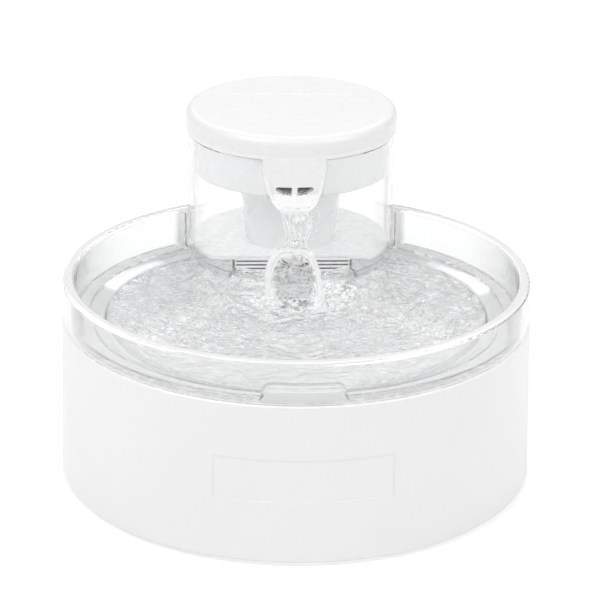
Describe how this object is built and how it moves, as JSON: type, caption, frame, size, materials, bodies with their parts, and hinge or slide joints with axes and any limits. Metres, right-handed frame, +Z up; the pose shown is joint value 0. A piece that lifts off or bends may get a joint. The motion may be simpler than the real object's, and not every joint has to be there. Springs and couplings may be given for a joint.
{
  "type": "pet water fountain",
  "caption": "Round pet water fountain: opaque base, clear bowl with a tower at the back, capped filter housing and a spout that pours into the bowl.",
  "frame": {"origin": "on the ground, under the middle of the whole fountain's box", "axes": "+Z up, +Y from the front of the bowl towards the tower at the back, +X to the right seen from the front"},
  "size_m": [0.2748, 0.3084, 0.188],
  "materials": {
    "white_shell": "moulded ABS, soft satin gloss",
    "white_lid": "moulded ABS, soft satin gloss",
    "white_housing": "moulded ABS, soft gloss",
    "white_moulding": "plain moulded finish",
    "clear_bowl": "clear polished moulding",
    "foot_rubber": "soft grey rubber",
    "grommet_rubber": "dark rubber",
    "screw_steel": "zinc plated",
    "motor_steel": "plated sheet steel",
    "shaft_steel": "ground steel",
    "lead_insulation": "insulated wire",
    "board": "glass fibre board with solder mask",
    "components": "moulded component bodies",
    "carrier": "glass filled nylon",
    "magnet": "sintered ferrite",
    "impeller": "acetal",
    "bush": "bearing acetal",
    "foam": "open cell foam",
    "carbon": "granular activated carbon"
  },
  "bodies": {
    "base_unit": {"base_shell": "white_shell", "base_floor": "white_moulding", "base_screws": "screw_steel", "rubber_feet": "foot_rubber", "cord_grommet": "grommet_rubber", "motor_cover": "white_moulding", "cover_gasket": "grommet_rubber", "cover_screws": "screw_steel", "drive_motor": "motor_steel", "motor_bracket": "motor_steel", "motor_screws": "screw_steel", "motor_leads": "lead_insulation", "circuit_board": "board", "board_components": "components", "board_screws": "screw_steel"},
    "motor_rotor": {"motor_shaft": "shaft_steel", "magnet_carrier": "carrier", "drive_magnets": "magnet"},
    "bowl_unit": {"bowl": "clear_bowl", "impeller_post": "shaft_steel"},
    "pump_wheel": {"impeller": "impeller", "impeller_magnet": "magnet", "impeller_bush": "bush"},
    "filter_unit": {"filter_housing": "white_housing", "impeller_cover": "white_housing", "riser_tube": "white_moulding", "foam_prefilter": "foam"},
    "cartridge_unit": {"cartridge_frame": "white_moulding", "filter_medium": "carbon", "cartridge_cap": "white_moulding"},
    "lid_unit": {"lid": "white_lid"}
  },
  "joints": [
    {"name": "motor_spin", "type": "hinge", "parent": "base_unit", "child": "motor_rotor", "pos_m": [0, 0.08955, 0.03], "axis": [0, 0, 1], "continuous": true},
    {"name": "bowl_lift", "type": "slide", "parent": "base_unit", "child": "bowl_unit", "axis": [0, 0, 1], "range_m": [0, 0.11]},
    {"name": "impeller_spin", "type": "hinge", "parent": "bowl_unit", "child": "pump_wheel", "pos_m": [0, 0.08955, 0.05], "axis": [0, 0, 1], "continuous": true},
    {"name": "housing_lift", "type": "slide", "parent": "bowl_unit", "child": "filter_unit", "axis": [0, 0, 1], "range_m": [0, 0.15]},
    {"name": "cartridge_lift", "type": "slide", "parent": "filter_unit", "child": "cartridge_unit", "axis": [0, 0, 1], "range_m": [0, 0.06]},
    {"name": "lid_lift", "type": "slide", "parent": "cartridge_unit", "child": "lid_unit", "axis": [0, 0, 1], "range_m": [0, 0.06]}
  ],
  "couplings": [
    {"joint": "impeller_spin", "follows": "motor_spin", "ratio": 1}
  ]
}
